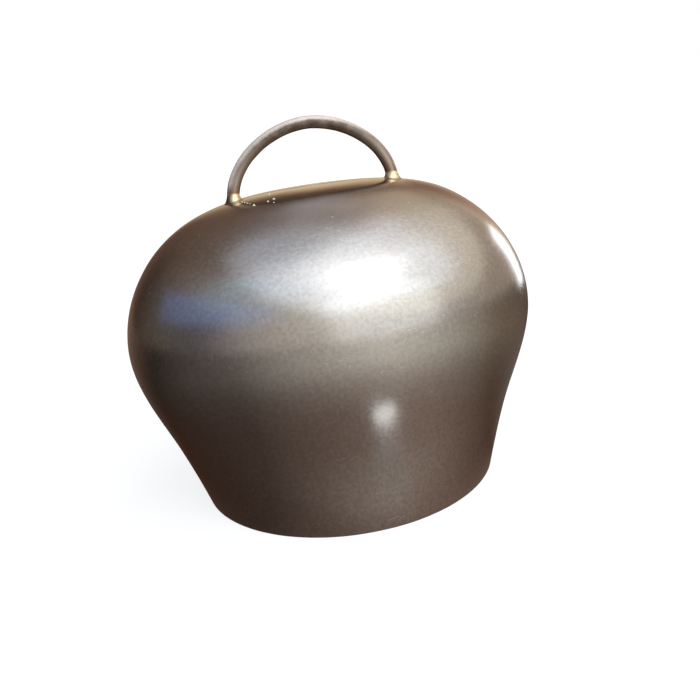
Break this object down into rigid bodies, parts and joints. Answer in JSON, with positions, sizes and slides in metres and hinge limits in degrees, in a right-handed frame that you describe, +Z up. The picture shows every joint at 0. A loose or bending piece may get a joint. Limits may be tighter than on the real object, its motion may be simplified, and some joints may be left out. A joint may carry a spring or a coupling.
{
  "type": "cowbell",
  "caption": "Bulbous pressed-steel cowbell with a near-round mouth, an arched rod strap handle brazed on the crown and a ball clapper that swings on a link inside.",
  "frame": {"origin": "centre of the mouth plane, on the flat rim that the bell stands on", "axes": "+X across the wide faces in the plane of the handle, +Y from the front face to the back, +Z up from the mouth to the handle"},
  "size_m": [0.1598, 0.1184, 0.1447],
  "materials": {
    "shell_steel": "burnished, brownish",
    "weld_steel": "ground flush",
    "handle_steel": "drawn rod, lightly worn",
    "braze_brass": "as brazed",
    "clapper_iron": "forged, dark"
  },
  "bodies": {
    "bell": {"front_shell": "shell_steel", "rear_shell": "shell_steel", "seam_weld": "weld_steel", "handle": "handle_steel", "left_handle_braze": "braze_brass", "right_handle_braze": "braze_brass", "clapper_staple": "clapper_iron", "left_staple_braze": "braze_brass", "right_staple_braze": "braze_brass"},
    "link": {"clapper_link": "clapper_iron"},
    "clapper": {"clapper_shank": "clapper_iron", "clapper_ball": "clapper_iron"}
  },
  "joints": [
    {"name": "link_swing", "type": "hinge", "parent": "bell", "child": "link", "pos_m": [0, 0, 0.1005], "axis": [1, 0, 0], "range_deg": [-25, 25]},
    {"name": "clapper_swing", "type": "hinge", "parent": "link", "child": "clapper", "pos_m": [0, 0, 0.0894], "axis": [0, 1, 0], "range_deg": [-16, 16]}
  ]
}
